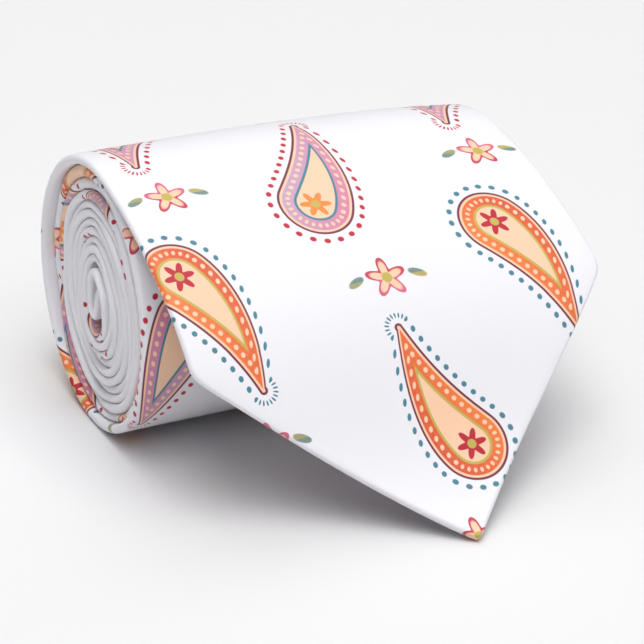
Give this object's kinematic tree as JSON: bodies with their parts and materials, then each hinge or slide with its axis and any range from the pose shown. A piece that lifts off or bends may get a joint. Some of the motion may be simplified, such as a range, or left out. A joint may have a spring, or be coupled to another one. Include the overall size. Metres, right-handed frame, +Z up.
{
  "type": "rolled necktie",
  "caption": "Wide necktie in white satin cloth with a small scattered print, wound into a roll with its pointed blade left free and lying on the floor in front.",
  "frame": {"origin": "middle of the bounding box, at the floor that the roll and the tip of the blade lie on", "axes": "+X along the axis of the roll, from the even end to the hollow end; -Y towards the tip of the free blade; +Z up"},
  "size_m": [0.104, 0.1112, 0.0642],
  "materials": {
    "tie_cloth": "smooth white satin weave with a scattered multicolour print",
    "lining_cloth": "plain white lining satin"
  },
  "bodies": {
    "root": {"blade_point": "tie_cloth", "blade_front": "tie_cloth", "blade_turn_1": "tie_cloth", "blade_turn_2": "tie_cloth", "blade_turn_3": "tie_cloth", "blade_turn_4": "tie_cloth", "blade_turn_5": "tie_cloth", "neck_turn_1": "tie_cloth", "neck_turn_2": "tie_cloth", "tail_turn_1": "tie_cloth", "tail_turn_2": "tie_cloth", "tail_turn_3": "tie_cloth", "tail_turn_4": "tie_cloth", "tail_turn_5": "tie_cloth", "tail_turn_6": "tie_cloth", "blade_lining": "lining_cloth"}
  },
  "joints": []
}
